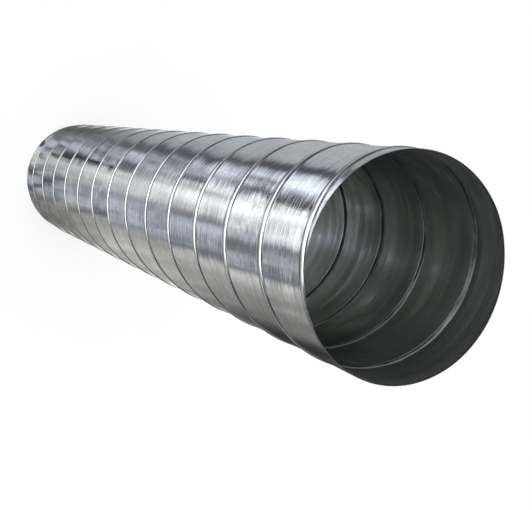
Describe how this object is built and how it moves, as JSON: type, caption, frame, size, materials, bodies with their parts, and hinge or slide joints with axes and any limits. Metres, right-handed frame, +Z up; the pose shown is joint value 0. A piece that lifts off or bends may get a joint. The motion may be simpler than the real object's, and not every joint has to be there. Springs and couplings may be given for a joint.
{
  "type": "spiral duct section",
  "caption": "Straight round ventilation duct of galvanised sheet steel, wound as a spiral with a raised helical lock seam, open and square-cut at both ends.",
  "frame": {"origin": "on the floor, at the middle of the duct's foot", "axes": "+Z up along the duct's axis, towards the end that is nearest in the picture; +Y is the side that is uppermost in the picture, and +X the side that is to the right when looking into that end"},
  "size_m": [0.3198, 0.3198, 1.67],
  "materials": {
    "galvanised_steel": "bright galvanised sheet, mill finish, with faint rolling streaks along the strip"
  },
  "bodies": {
    "root": {"spiral_duct": "galvanised_steel"}
  },
  "joints": []
}
